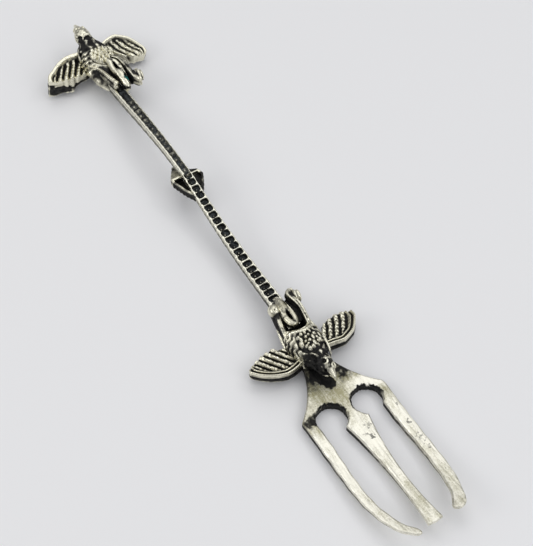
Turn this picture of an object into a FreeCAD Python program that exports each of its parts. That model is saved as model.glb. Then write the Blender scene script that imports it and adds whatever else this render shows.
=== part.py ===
import FreeCAD, Part
import math
import os
import Sketcher

# Small cast-silver serving fork with three curved tines, two keyhole piercings, a pitted bar handle
# in two lengths, a rhombic collar over their joint, and the same bird casting applied twice.
# Millimetres. Origin: on the flat underside, midway between the two keyhole centres.
# +X runs along the fork towards the tine tips, +Y to the fork's left, +Z up.

V = FreeCAD.Vector
doc = FreeCAD.newDocument("OrnamentalFork")
sheet = doc.addObject("Spreadsheet::Sheet", "Dims")

DIMENSIONS = [
    ("plate_thick", 1.8, "thickness of the plate at the keyholes"),
    ("tip_thick", 0.7, "thickness at the tine tips"),
    ("neck_back", -12.1, "back end of the neck tongue, inside the bird"),
    ("neck_half", 2.0, "half width of the neck tongue"),
    ("shoulder_pos", -1.9, "X of the widest point of the plate"),
    ("shoulder_half", 7.2, "half width at the shoulders"),
    ("shoulder_arc", 17, "radius of the concave shoulder flare"),
    ("flank_half", 7.12, "half width over the outer tines"),
    ("flank_start", -0.4, "X where the outer tines run straight"),
    ("bend_start", 13.2, "X where the outer tines turn inwards"),
    ("outer_tip", 22.3, "X of the outer tine ends"),
    ("outer_tip_out", 4.6, "outer edge of the outer tine at its end"),
    ("outer_tip_in", 3.1, "inner edge of the outer tine at its end"),
    ("outer_arc", 17.5, "radius of the outer edge"),
    ("inner_arc", 15.5, "radius of the inner edge"),
    ("inner_root", 5.05, "inner edge of the outer tine at its root"),
    ("inner_bend", 5.2, "inner edge where the bend starts"),
    ("centre_root", 2.15, "X of the chevron points of the centre tine"),
    ("centre_root_half", 1.95, "half width at the chevron points"),
    ("centre_tip", 21.6, "X of the centre tine end"),
    ("centre_tip_half", 1.15, "half width of the centre tine end"),
    ("centre_arc", 82, "radius of the waisted sides"),
    ("keyhole_half", 3.12, "keyhole centre from the axis"),
    ("keyhole_r", 2.4, "keyhole radius"),
    ("lift_start", 5.6, "X where the tines start to rise"),
    ("lift_end", 23.6, "X where the rise is measured"),
    ("outer_rise", 2.5, "rise of the top face of the outer tines"),
    ("centre_rise", 1.6, "rise of the top face of the centre tine"),
    ("pit_pitch", 1.32, "spacing of the pits in the lower bar"),
    ("pit_pitch_upper", 1.34, "spacing of the pits in the upper bar"),
    ("pit_zero", -46.4, "X of the pit under the collar"),
    ("pit_r_wide", 0.6, "pit radius at the ends of the handle"),
    ("pit_r_slim", 0.46, "pit radius at the collar"),
    ("pit_deep", 0.75, "pit depth in the lower bar"),
    ("pit_shallow", 0.35, "pit depth in the upper bar"),
    ("joint_pos", -48.1, "X of the joint of the two bars, under the collar"),
    ("collar_front", -44.1, "front end of the collar"),
    ("collar_ridge", -48.95, "X of the ridge between the facets and the pockets"),
    ("left_cheek_back", -50.8, "back end of the left cheek"),
    ("left_cheek_tip", -47.9, "X of the left cheek's point"),
    ("left_cheek_half", 2.9, "left cheek's point from the axis"),
    ("left_cheek_high", 4.8, "top of the left cheek"),
    ("right_cheek_back", -51.9, "back end of the right cheek"),
    ("right_cheek_tip", -48.7, "X of the right cheek's point"),
    ("right_cheek_half", 2.45, "right cheek's point from the axis"),
    ("right_cheek_high", 5.3, "top of the right cheek"),
    ("collar_low", 3.5, "underside of the collar"),
    ("collar_pocket", 0.9, "depth of the collar pockets"),
    ("collar_rim", 0.28, "rim around the collar pockets"),
    ("lower_bird_pos", -12.2, "X of the lower bird's wing centre"),
    ("upper_bird_pos", -80.4, "X of the upper bird's wing centre"),
    ("upper_bird_shift", -0.35, "sideways offset of the upper bird"),
    ("upper_bird_raise", 0.75, "height of the upper bird's belly"),
    ("upper_bird_nose", 2.0, "degrees the upper bird's head is raised"),
    ("upper_bird_roll", 6.5, "degrees the upper bird leans to its right"),
    ("body_half", 3.02, "half width of the body"),
    ("body_mid", 2.9, "height of the body's middle"),
    ("head_pos", 5.2, "head centre ahead of the wing centre"),
    ("head_high", 4.5, "height of the head centre"),
    ("head_long", 1.75, "half length of the head"),
    ("head_r", 1.5, "head radius across"),
    ("beak_long", 2.55, "length of the beak"),
    ("beak_r", 0.95, "beak radius at its root"),
    ("wing_reach", 9.75, "wing tip from the bird's axis"),
    ("wing_lead_arc", 7.2, "radius of the leading edge"),
    ("wing_low", 0.85, "underside of the wings at the wing centre"),
    ("wing_high", 2.45, "top of the wings at the wing centre"),
    ("wing_pitch", 0.28, "slope of the wings up towards the leading edge"),
    ("rib_r", 0.24, "radius of the grooves between feathers"),
    ("rib_gap", 1.12, "spacing of the feathers"),
    ("roll_in", 1.2, "inner face of the rolled volute's band"),
    ("roll_back", -7.1, "X of the roll's centre behind the wing centre"),
    ("roll_side", 2.62, "roll centre from the axis"),
    ("roll_r", 1.05, "roll radius"),
    ("roll_top", 5.95, "top of the rolled volute"),
    ("knob_in", 1.15, "inner face of the knobbed volute's band"),
    ("knob_back", -6.5, "X of the knob's centre behind the wing centre"),
    ("knob_side", 1.55, "knob centre from the axis"),
    ("knob_r", 0.9, "knob radius"),
    ("knob_top", 5.65, "top of the knobbed volute"),
    ("tail_stretch", 1.18, "length of the upper bird's tail against the lower one's"),
    ("tail_shift", 1.15, "sideways offset of the upper bird's tail"),
    ("loop_pos", -5.55, "centre of the tail loop behind the wing centre"),
    ("loop_side", -0.06, "sideways offset of the tail loop"),
    ("loop_long", 3.1, "half length of the tail loop"),
    ("loop_half", 0.98, "half width of the tail loop"),
    ("loop_top", 5.5, "top of the tail loop"),
]
for row, (alias, value, note) in enumerate(DIMENSIONS, start=1):
    sheet.set("A%d" % row, note)
    sheet.set("B%d" % row, str(value))
    sheet.setAlias("B%d" % row, alias)
doc.recompute()


def named(expression):
    """Expression text with each bare dimension name turned into a sheet reference."""
    text = str(expression)
    out, word = "", ""
    names = {row[0] for row in DIMENSIONS}
    for char in text + " ":
        if char.isalnum() or char == "_":
            word += char
            continue
        out += ("Dims." + word if word in names else word) + char
        word = ""
    return out.strip()


def number(expression):
    value = sheet.evalExpression(named(expression))
    return float(getattr(value, "Value", value))


def bind(obj, **properties):
    for name, expression in properties.items():
        obj.setExpression(name.replace("__", "."), named(expression))
    return obj


def place(obj, x=None, y=None, z=None, turn=None):
    """Placement with each stated coordinate bound to the sheet."""
    if turn is not None:
        obj.Placement = FreeCAD.Placement(V(0, 0, 0), turn)
    for axis, expression in (("x", x), ("y", y), ("z", z)):
        if expression is not None:
            obj.setExpression("Placement.Base." + axis, named(expression))
    return obj


ACROSS = FreeCAD.Rotation(V(0, 1, 0), V(0, 0, 1), V(1, 0, 0), "XYZ")      # sketch u, v = Y, Z
SIDEWAYS = FreeCAD.Rotation(V(1, 0, 0), V(0, 0, 1), V(0, -1, 0), "XYZ")   # sketch u, v = X, Z


def profile(name, nodes, turn=None, **where):
    """Closed sketch. Each node is (u, v) or (u, v, radius): a radius makes the edge that leaves
    the node an arc, bulging to the left of travel when positive and to the right when negative."""
    sketch = doc.addObject("Sketcher::SketchObject", name)
    points = [V(number(n[0]), number(n[1]), 0) for n in nodes]
    count = len(nodes)
    for i, node in enumerate(nodes):
        a, b = points[i], points[(i + 1) % count]
        if len(node) == 2:
            sketch.addGeometry(Part.LineSegment(a, b), False)
            continue
        radius = number(node[2])
        chord = b - a
        left = V(-chord.y, chord.x, 0).normalize()
        sag = abs(radius) - math.sqrt(max(radius * radius - chord.Length ** 2 / 4, 0))
        mid = (a + b) * 0.5 + left * math.copysign(sag, radius)
        sketch.addGeometry(Part.Arc(a, mid, b), False)
    starts = []
    for i, node in enumerate(nodes):
        flipped = len(node) == 3 and number(node[2]) > 0
        starts.append((i, 2, 1) if flipped else (i, 1, 2))
    for i in range(count):
        nxt = (i + 1) % count
        sketch.addConstraint(Sketcher.Constraint("Coincident", i, starts[i][2], nxt, starts[nxt][1]))
    for i, node in enumerate(nodes):
        for kind, axis_id, term, value in (("DistanceX", -2, node[0], points[i].x),
                                           ("DistanceY", -1, node[1], points[i].y)):
            if abs(value) < 1e-9:
                sketch.addConstraint(Sketcher.Constraint("PointOnObject", i, starts[i][1], axis_id))
                continue
            index = sketch.addConstraint(Sketcher.Constraint(kind, i, starts[i][1], value))
            sketch.setExpression("Constraints[%d]" % index, named(term))
        if len(node) == 3:
            index = sketch.addConstraint(Sketcher.Constraint("Radius", i, abs(number(node[2]))))
            sketch.setExpression("Constraints[%d]" % index, named("abs(%s)" % node[2]))
    return place(sketch, turn=turn, **where)


def extruded(name, base, forward, backward=0):
    body = doc.addObject("Part::Extrusion", name)
    body.Base, body.DirMode, body.Solid = base, "Normal", True
    return bind(body, LengthFwd=forward, LengthRev=backward)


def joined(name, parts):
    fuse = doc.addObject("Part::MultiFuse", name)
    fuse.Shapes = list(parts)
    return fuse


def shared(name, parts):
    common = doc.addObject("Part::MultiCommon", name)
    common.Shapes = list(parts)
    return common


def cut(name, base, tool):
    result = doc.addObject("Part::Cut", name)
    result.Base, result.Tool = base, tool
    return result


def mirrored(name, source):
    copy = doc.addObject("Part::Mirroring", name)
    copy.Source, copy.Base, copy.Normal = source, V(0, 0, 0), V(0, 1, 0)
    return copy


def lofted(name, sections):
    loft = doc.addObject("Part::Loft", name)
    loft.Sections, loft.Solid, loft.Ruled = list(sections), True, False
    return loft


def cylinder(name, radius, height, turn=None, **where):
    rod = doc.addObject("Part::Cylinder", name)
    bind(rod, Radius=radius, Height=height)
    return place(rod, turn=turn, **where)


# ---------------------------------------------------------------- fork head: plate and tines
flank_plan = profile("FlankPlan", [
    ("neck_back", 0), ("shoulder_pos + 1.9", 0), ("shoulder_pos + 1.9", "inner_root"),
    ("bend_start", "inner_bend", "inner_arc"),
    ("outer_tip", "outer_tip_in", "-(outer_tip_out - outer_tip_in) * 0.6"),
    ("outer_tip", "outer_tip_out", "-outer_arc"), ("bend_start", "flank_half"),
    ("flank_start", "flank_half"), ("shoulder_pos", "shoulder_half", "shoulder_arc"),
    ("neck_back + 2.6", "neck_half"), ("neck_back", "neck_half")])
centre_plan = profile("CentrePlan", [
    ("shoulder_pos", 0), ("centre_tip + 0.25", 0), ("centre_tip", "centre_tip_half", "centre_arc"),
    ("centre_root", "centre_root_half"), ("shoulder_pos", "centre_root_half + 0.2")])


def tine_side(name, rise):
    """Side view of the sheet: flat under the plate, then rising and thinning to the tips."""
    span = "(lift_end - lift_start)"
    low = "(%s + plate_thick - tip_thick)" % rise
    under = "-(%s * %s + %s * %s) / (2 * %s)" % (span, span, low, low, low)
    above = "(%s * %s + %s * %s) / (2 * %s)" % (span, span, rise, rise, rise)
    sketch = profile(name + "Side", [
        ("neck_back - 1", 0), ("lift_start", 0, under), ("lift_end", low),
        ("lift_end", "plate_thick + " + rise, above), ("lift_start", "plate_thick"),
        ("neck_back - 1", "plate_thick")], turn=SIDEWAYS)
    return extruded(name + "Sheet", sketch, 12, 12)


flank = shared("Flank", [extruded("FlankBlank", flank_plan, 9), tine_side("Outer", "outer_rise")])
centre = shared("Centre", [extruded("CentreBlank", centre_plan, 9), tine_side("Inner", "centre_rise")])
blank = joined("HeadBlank", [flank, mirrored("FlankMirror", flank), centre,
                             mirrored("CentreMirror", centre)])
blank.Refine = True
keyholes = joined("Keyholes", [
    cylinder("Keyhole" + side, "keyhole_r", 6, x=0, y=sign + "keyhole_half", z=-1)
    for side, sign in (("Left", ""), ("Right", "-"))])
fork_head = cut("fork_head", blank, keyholes)

# ---------------------------------------------------------------- handle bars
# Stations along a bar: position, height of the top, width, depth of section.
LOWER_STATIONS = [("joint_pos", 6.2, 1.6, 1.6), (-40.0, 4.6, 1.75, 1.6), (-31.8, 3.75, 1.95, 1.65),
                  (-23.5, 3.85, 2.2, 1.75), (-15.2, 4.05, 2.35, 1.85)]
UPPER_STATIONS = [(-76.0, 3.7, 2.25, 1.8), (-69.0, 4.5, 2.1, 1.75), (-62.0, 5.45, 1.9, 1.65),
                  (-55.0, 6.1, 1.7, 1.6), ("joint_pos", 6.2, 1.6, 1.6)]


def bar_section(name, station):
    """Moulded bar section: rounded rails on top, a groove along each side, a narrower underside."""
    where, top, wide, deep = station
    half = [(0.36, 1.0), (0.5, 0.78), (0.5, 0.56), (0.42, 0.5), (0.42, 0.4), (0.5, 0.34),
            (0.5, 0.1), (0.43, 0)]
    nodes = [("%s * %s" % (u, wide), "%s - %s * %s" % (top, v, deep)) for u, v in half]
    nodes += [("-%s * %s" % (u, wide), "%s - %s * %s" % (top, v, deep)) for u, v in reversed(half)]
    return profile(name, nodes, turn=ACROSS, x=where)


def top_height(stations, x):
    known = [(number(s[0]), s[1]) for s in stations]
    for (x0, z0), (x1, z1) in zip(known, known[1:]):
        if x0 <= x <= x1:
            return z0 + (z1 - z0) * (x - x0) / (x1 - x0), math.atan2(z1 - z0, x1 - x0)
    return known[-1][1], 0.0


def pitted_bar(name, stations, first, last, depth, pitch):
    tag = name.title().replace("_", "")
    bar = lofted(tag + "Bar", [bar_section("%sSection%d" % (tag, i), s)
                               for i, s in enumerate(stations)])
    pits = []
    for index in range(first, last + 1):
        x = number("pit_zero") + index * number(pitch)
        z, slope = top_height(stations, x)
        radius = "pit_r_slim + (pit_r_wide - pit_r_slim) * %.3f" % (abs(index) / 20.0)
        turn = FreeCAD.Rotation(V(0, 1, 0), -math.degrees(slope))
        pits.append(cylinder("%sPit%02d" % (tag, index - first), radius, depth + " + 2", turn=turn,
                             x="pit_zero + %d * %s" % (index, pitch), y=0, z="%.3f - %s" % (z, depth)))
    return cut(name, bar, joined(tag + "Pits", pits))


lower_shaft = pitted_bar("lower_shaft", LOWER_STATIONS, 0, 19, "pit_deep", "pit_pitch")
upper_shaft = pitted_bar("upper_shaft", UPPER_STATIONS, -18, -2, "pit_shallow", "pit_pitch_upper")
handle = joined("Handle", [lower_shaft, upper_shaft])

# ---------------------------------------------------------------- collar: one cheek on each side
def cheek(side):
    """One cheek, drawn on the +Y side: a sloping facet behind the ridge, a pocket in front of it."""
    tag, dim = "Cheek" + side.title(), side + "_cheek_"
    back, tip, half, high = (dim + word for word in ("back", "tip", "half", "high"))
    block = extruded(tag + "Block", profile(tag + "Plan", [
        (back, 0.65), ("collar_front", 0.65), ("collar_front", 0.9), (tip + " + 0.35", half),
        (tip + " - 0.35", half), (back, 0.9)], z="collar_low"), high + " - collar_low")
    pocket = extruded(tag + "Pocket", profile(tag + "PocketPlan", [
        ("collar_ridge + collar_rim", 0.78), ("collar_front - 4.5 * collar_rim", 0.78),
        (tip + " + 0.35 + collar_rim", half + " - 2 * collar_rim"),
        ("collar_ridge + collar_rim", half + " - 2 * collar_rim")],
        z=high + " - collar_pocket"), 3)
    facet = extruded(tag + "Facet", profile(tag + "FacetSide", [
        (back + " - 1", high + " - 1.1"), ("collar_ridge", high + " - 0.25"),
        ("collar_ridge", high + " + 1"), (back + " - 1", high + " + 1")], turn=SIDEWAYS), 0, 6)
    return cut(tag + "Carved", block, joined(tag + "Cuts", [pocket, facet]))


collar_left = cut("collar_left", cheek("left"), handle)
collar_right = cut("collar_right", mirrored("CheekMirror", cheek("right")), handle)


# ---------------------------------------------------------------- the two birds
def oval(name, x, half_wide, half_high, middle):
    ring = doc.addObject("Part::Ellipse", name)
    ring.Placement = FreeCAD.Placement(V(0, 0, 0), ACROSS)
    bind(ring, MajorRadius=half_wide, MinorRadius=half_high)
    return place(ring, x=x, z=middle)


# Wing outlines from the root along the trailing edge to the tip and back along the leading edge.
ROUND_WING = [(-0.9, 1.9), (-1.5, 2.6), (-2.7, 4.4, 14), (-1.5, "wing_reach - 0.7", 0.75),
              (-0.4, "wing_reach", "wing_lead_arc"), (3.6, 5.2, 7), (2.2, 1.9)]
FULL_WING = [(-0.6, 1.9), (-0.8, 3.1), (-2.5, 4.7), (-3.0, 6.9), (-2.4, 8.9), (-1.8, "wing_reach - 0.1"),
             (-0.2, "wing_reach - 0.3", 9), (1.95, 7.7, 12), (2.85, 5.5), (2.3, 1.9)]
LONG_WING = [(-0.4, 1.9), (-1.6, 3.3), (-2.1, 6.1), (-1.55, 8.8), (-1.15, "wing_reach"), (0.8, 8.4, 9),
             (2.7, 4.9, 12), (2.3, 1.9)]
BROAD_WING = [(1.0, 1.9), (0.4, 3.8), (-0.7, 5.0), (-2.0, 6.5), (-2.3, 8.4), (-1.3, "wing_reach - 0.4"),
              (0.1, "wing_reach - 0.6", 9), (2.4, 7.6), (3.7, 5.4, 5), (3.2, 3.4), (2.3, 1.9)]


def wing(tag, plan, low):
    """One wing drawn on the +Y side: a sloping slab with grooves between the feathers."""
    blank = extruded(tag + "Block", profile(tag + "Plan", plan, z=-1), 6)
    slab = extruded(tag + "Slab", profile(tag + "Side", [
        (-4, low + " - 4 * wing_pitch"), (4, low + " + 4 * wing_pitch"),
        (4, "wing_high + 4 * wing_pitch"), (-4, "wing_high - 4 * wing_pitch")],
        turn=SIDEWAYS), 0, 12)
    along = V(math.cos(0.46), -math.sin(0.46), number("wing_pitch") * math.cos(0.46))
    grooves = joined(tag + "Grooves", [
        cylinder("%sGroove%d" % (tag, i), "rib_r", 6.5,
                 turn=FreeCAD.Rotation(V(0, 0, 1), along), x=-3.4, y="3.9 + %d * rib_gap" % i,
                 z="wing_high - 3.4 * wing_pitch + 0.1") for i in range(6)])
    return cut(tag + "Carved", shared(tag + "Sheet", [blank, slab]), grooves)


def volute(tag, kind, stretch, shift):
    """One volute drawn on the +Y side: a band from the rump ending in a roll or a knob. Stretch
    and shift move its back end."""
    back = "(-2.4 + (%s_back + 2.4) * %s)" % (kind, stretch)
    inner = "(%s_in + %s)" % (kind, shift)
    top = kind + "_top"
    band = extruded(tag + "BandBlock", profile(tag + "BandPlan", [
        (back, inner), (-0.8, kind + "_in + 0.4"), (-0.8, kind + "_in + 1.0"),
        (back, inner + " + 0.8")], z=3.6), 4)
    curl = cylinder(tag + "Curl", kind + "_r", 4, x=back, y="%s_side + %s" % (kind, shift), z=3.6)
    rise = extruded(tag + "Rise", profile(tag + "Side", [
        (back + " - 2", 4.2), (back + " + 1", 4.0), (-0.5, 3.7), (-0.5, 4.8), (-3.2, top + " - 0.35"),
        (back + " + 0.6", top), (back + " - 2", top + " - 0.3")], turn=SIDEWAYS), 0, 6)
    return shared(tag, [joined(tag + "Block", [band, curl]), rise])


def bird(which, x, y, z, turn, tools, wings, volutes, stretch, shift):
    """Six castings in the bird's own frame (head towards +X, wing centre at the origin), placed
    on the fork and trimmed to the pieces they are soldered to. Stretch and shift give the tail's
    length and its offset to the bird's right."""
    tag = which.title()

    def settled(obj):
        return place(obj, turn=turn, x=x, y=y, z=z)

    trunk = lofted(tag + "Trunk", [
        oval(tag + "Rump", -6.6, 1.4, 1.15, 2.95), oval(tag + "Croup", -4.2, 2.5, 1.85, 2.85),
        oval(tag + "Back", -1.5, "body_half", "body_half - 0.3", "body_mid - 0.05"),
        oval(tag + "Breast", 1.2, "body_half", "body_half", "body_mid"),
        oval(tag + "Crop", 3.4, 2.25, 2.2, 3.55), oval(tag + "Neck", 4.9, 1.5, 1.45, 4.1)])
    skull = doc.addObject("Part::Ellipsoid", tag + "Skull")
    bind(skull, Radius1="head_r", Radius2="head_long", Radius3="head_r")
    place(skull, x="head_pos", z="head_high")
    beak = doc.addObject("Part::Cone", tag + "Beak")
    bind(beak, Radius1="beak_r", Radius2=0.12, Height="beak_long")
    place(beak, turn=FreeCAD.Rotation(V(0, 1, 0), 120), x="head_pos + head_long - 0.95", y=0,
          z="head_high")
    floor = doc.addObject("Part::Box", tag + "Floor")
    bind(floor, Length=40, Width=40, Height=5)
    place(floor, x=-20, y=-20, z=-5)
    whole = settled(cut(tag + "Casting", joined(tag + "Solid", [trunk, skull, beak]), floor))
    body = cut(which + "_bird_body", whole, tools)

    loop_ring = doc.addObject("Part::Ellipse", tag + "LoopRing")
    bind(loop_ring, MajorRadius="loop_long * " + stretch, MinorRadius="loop_half")
    middle = "-2.4 + (loop_pos + 2.4) * " + stretch
    place(loop_ring, x=middle, y="loop_side - " + shift, z=3.75)
    slot_ring = doc.addObject("Part::Ellipse", tag + "SlotRing")
    bind(slot_ring, MajorRadius="loop_long * 0.34", MinorRadius="loop_half * 0.3")
    place(slot_ring, x=middle + " + 1.05", y="loop_side - " + shift, z=3.5)
    loop = cut(tag + "LoopCarved", extruded(tag + "LoopBlock", loop_ring, "loop_top - 3.75"),
               extruded(tag + "LoopSlot", slot_ring, 5))
    loop_holder = doc.addObject("Part::Compound", tag + "LoopHolder")
    loop_holder.Links = [loop]
    settled(loop_holder)

    trim = joined(tag + "Trim", [whole, tools])
    wide_trim = joined(tag + "WideTrim", [whole, tools, loop_holder])
    pieces = [body]
    for side, plan, low, kind in zip(("left", "right"), *wings, volutes):
        name = tag + side.title()
        toward = ("-" if side == "left" else "") + shift
        for what, source in (("wing", wing(name + "Wing", plan, low)),
                             ("volute", volute(name + "Volute", kind, stretch, toward))):
            if side == "right":
                source = mirrored("%s%sMirror" % (name, what.title()), source)
            holder = doc.addObject("Part::Compound", name + what.title() + "Holder")
            holder.Links = [source]
            settled(holder)
            pieces.append(cut("%s_bird_%s_%s" % (which, side, what), holder,
                              trim if what == "wing" else wide_trim))
    pieces.append(cut(which + "_bird_tail_loop", loop_holder, trim))
    return pieces


lower_tools = joined("LowerTools", [lower_shaft, fork_head])
lower_bird = bird("lower", "lower_bird_pos", 0, 0, FreeCAD.Rotation(), lower_tools,
                  ((FULL_WING, ROUND_WING), ("wing_low", "wing_low")), ("roll", "knob"), "1", "0")
leaning = FreeCAD.Rotation(180, -number("upper_bird_nose"), number("upper_bird_roll"))
upper_bird = bird("upper", "upper_bird_pos", "upper_bird_shift", "upper_bird_raise", leaning,
                  upper_shaft, ((LONG_WING, BROAD_WING), ("wing_low - 0.7", "wing_low + 0.15")),
                  ("knob", "roll"), "tail_stretch", "tail_shift")

# ---------------------------------------------------------------- check and write
pieces = [fork_head, lower_shaft, upper_shaft, collar_left, collar_right] + lower_bird + upper_bird
for piece in pieces:
    piece.Label = piece.Name
doc.recompute()
for obj in doc.Objects:
    state = [word for word in obj.State if word not in ("Up-to-date",)]
    if state:
        raise RuntimeError("%s is %s" % (obj.Name, state))
    if hasattr(obj, "Shape") and (obj.Shape.isNull() or not obj.Shape.isValid()):
        raise RuntimeError("%s has no valid shape" % obj.Name)
os.makedirs("parts", exist_ok=True)
for piece in pieces:
    solids = piece.Shape.Solids
    if len(solids) != 1:
        raise RuntimeError("%s has %d solids" % (piece.Label, len(solids)))
    piece.Shape.exportStep("parts/%s.step" % piece.Label)
    box = piece.Shape.optimalBoundingBox(False)
    print("%-26s %8.2f mm3  x %.2f..%.2f  y %.2f..%.2f  z %.2f..%.2f" % (
        piece.Label, piece.Shape.Volume, box.XMin, box.XMax, box.YMin, box.YMax, box.ZMin, box.ZMax))
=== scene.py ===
import math

import bpy
import numpy as np
from mathutils import Euler, Matrix, Vector


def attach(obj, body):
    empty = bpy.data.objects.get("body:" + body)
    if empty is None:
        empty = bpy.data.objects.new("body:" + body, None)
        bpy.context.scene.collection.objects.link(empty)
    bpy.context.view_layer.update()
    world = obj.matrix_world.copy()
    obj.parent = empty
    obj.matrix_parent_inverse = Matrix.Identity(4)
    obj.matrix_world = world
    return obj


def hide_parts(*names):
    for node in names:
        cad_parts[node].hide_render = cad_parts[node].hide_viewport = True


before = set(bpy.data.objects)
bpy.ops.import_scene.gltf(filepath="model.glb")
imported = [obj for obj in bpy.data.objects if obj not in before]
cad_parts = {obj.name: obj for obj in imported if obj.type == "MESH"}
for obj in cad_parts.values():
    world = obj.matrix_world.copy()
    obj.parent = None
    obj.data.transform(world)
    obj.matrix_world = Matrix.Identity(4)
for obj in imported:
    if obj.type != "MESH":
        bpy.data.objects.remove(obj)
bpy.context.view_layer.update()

COARSER = 1.0
MM = 0.001
CORNERS = [np.array(c) for c in ((0, 0, 0), (0, 0, 1), (0, 1, 0), (0, 1, 1),
                                 (1, 0, 0), (1, 0, 1), (1, 1, 0), (1, 1, 1))]
NOISE_CELLS = 32


# ---- solids sampled on a grid
def smooth_min(a, b, k):
    h = np.clip(0.5 + 0.5 * (b - a) / k, 0, 1)
    return b + (a - b) * h - k * h * (1 - h)


def smooth_max(a, b, k):
    return -smooth_min(-a, -b, k)


def ramp(value, low, high):
    """0 up to low, 1 from high, smooth between."""
    t = np.clip((value - low) / (high - low), 0, 1)
    return t * t * (3 - 2 * t)


def bell(value, width):
    return np.exp(-(value / width) ** 2)


def trilinear(corner_value, f):
    """Blends the values at the eight corners of each cell, f being the place in the cell."""
    return sum(np.prod(np.where(c, f, 1 - f), axis=1) * corner_value(c) for c in CORNERS)


class Block:
    """A block of space in millimetres that holds the distance to a solid, negative inside."""

    def __init__(self, low, high, step):
        self.low, self.step = np.array(low, float), step * COARSER
        self.size = [int(math.ceil((h - l) / self.step)) + 1 for l, h in zip(low, high)]
        self.d = np.full(self.size, 5.0, np.float32)

    def window(self, low, high):
        first = np.floor((np.array(low) - self.low) / self.step).astype(int)
        last = np.ceil((np.array(high) - self.low) / self.step).astype(int) + 1
        return tuple(slice(*np.clip(ends, 0, n)) for *ends, n in zip(first, last, self.size))

    def coords(self, cuts=(slice(None),) * 3):
        return np.ix_(*((low + self.step * np.arange(n)).astype(np.float32)[cut]
                        for low, n, cut in zip(self.low, self.size, cuts)))

    def add(self, solid, low, high, k, blend=smooth_min, sign=1):
        cuts = self.window(low, high)
        if self.d[cuts].size:
            self.d[cuts] = blend(self.d[cuts], sign * solid(*self.coords(cuts)), k)

    def carve(self, solid, low, high, k):
        self.add(solid, low, high, k, smooth_max, -1)


def blurred(field, radius):
    """Two box blurs along each axis."""
    out = field
    for axis in range(3):
        r = min(radius, out.shape[axis] - 1)
        pad = [(0, 0)] * 3
        pad[axis] = (r + 1, r)
        for _ in range(2):
            run = np.cumsum(np.pad(out, pad, mode="edge"), axis=axis, dtype=np.float32)
            run = np.moveaxis(run, axis, 0)
            out = np.moveaxis((run[2 * r + 1:] - run[:-2 * r - 1]) / (2 * r + 1), 0, axis)
    return out


def skin(block):
    """Surface of the block: points in millimetres, quads, and how open each point lies at two
    scales, positive on edges and bumps and negative in hollows."""
    d = block.d
    inside = d < 0
    count = sum(inside[tuple(slice(i, n - 1 + i) for i, n in zip(c, d.shape))].astype(np.int8)
                for c in CORNERS)
    cells = np.argwhere((count > 0) & (count < 8))
    index = np.full(count.shape, -1, np.int32)
    index[tuple(cells.T)] = np.arange(len(cells))
    total = np.zeros((len(cells), 3))
    hits = np.zeros(len(cells))
    for a in CORNERS:
        for axis in range(3):
            if a[axis]:
                continue
            b = a.copy()
            b[axis] = 1
            va, vb = d[tuple((cells + a).T)], d[tuple((cells + b).T)]
            cross = (va < 0) != (vb < 0)
            t = np.where(cross, va / np.where(cross, va - vb, 1), 0)
            total[cross] += (a + (b - a) * t[:, None])[cross]
            hits += cross
    points = cells + total / hits[:, None]
    quads = []
    for axis in range(3):
        u, v = (axis + 1) % 3, (axis + 2) % 3
        near, far = [slice(1, -1)] * 3, [slice(1, -1)] * 3
        near[axis], far[axis] = slice(0, -1), slice(1, None)
        a, b = inside[tuple(near)], inside[tuple(far)]
        at = np.argwhere(a != b)
        flip = a[tuple(at.T)]
        ring = []
        for du, dv in ((1, 1), (0, 1), (0, 0), (1, 0)):
            c = at.copy()
            c[:, u] += du
            c[:, v] += dv
            ring.append(index[tuple(c.T)])
        ring = np.stack(ring, 1)
        quads.append(np.where(flip[:, None], ring, ring[:, ::-1]))
    quads = np.concatenate(quads)
    opens = []
    for reach in (0.28, 0.75):
        radius = max(1, int(round(reach / block.step)))
        soft = blurred(np.clip(d, -reach, reach) / reach, radius)
        low = np.clip(points.astype(int), 0, np.array(d.shape) - 2)
        opens.append(trilinear(lambda c: soft[tuple((low + c).T)], points - low))
    return block.low + points * block.step, quads, opens


# ---- solid shapes
def ellipsoid(centre, radii):
    def solid(x, y, z):
        p = x - centre[0], y - centre[1], z - centre[2]
        k0 = np.sqrt(sum((v / r) ** 2 for v, r in zip(p, radii)))
        k1 = np.sqrt(sum((v / r ** 2) ** 2 for v, r in zip(p, radii)))
        return k0 * (k0 - 1) / np.maximum(k1, 1e-4)
    return solid


def rod(a, b, ra, rb):
    """A round rod from a to b, its radius changing from ra to rb."""
    ab = b - a

    def solid(x, y, z):
        px, py, pz = x - a[0], y - a[1], z - a[2]
        t = np.clip((px * ab[0] + py * ab[1] + pz * ab[2]) / max(ab @ ab, 1e-9), 0, 1)
        qx, qy, qz = px - t * ab[0], py - t * ab[1], pz - t * ab[2]
        return np.sqrt(qx * qx + qy * qy + qz * qz) - (ra + (rb - ra) * t)
    return solid


def add_ball(block, centre, radii, reach, k, carve=False):
    """An ellipsoid put in or cut out, within reach of its centre."""
    c = np.array(centre)
    (block.carve if carve else block.add)(ellipsoid(c, radii), c - reach, c + reach, k)


def add_tube(block, points, radii, k, carve=False):
    """A tube put in rod by rod, so that each rod only touches its own window."""
    points = [np.array(p, float) for p in points]
    for a, b, ra, rb in zip(points, points[1:], radii, radii[1:]):
        reach = max(ra, rb) + 0.5
        low, high = np.minimum(a, b) - reach, np.maximum(a, b) + reach
        (block.carve if carve else block.add)(rod(a, b, ra, rb), low, high, k)


def add_strand(block, points, first, last, count, k, carve=False):
    """A tube on a smooth line through the points, its radius going from first to last."""
    add_tube(block, smooth_line(points, count), np.linspace(first, last, count), k, carve)


def side_block(side, x_range, y_range, z_range, step):
    """A block on one side of the fork. The y range is measured outwards from the middle."""
    low, high = sorted(side * v for v in y_range)
    return Block((x_range[0], low, z_range[0]), (x_range[1], high, z_range[1]), step)


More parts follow.
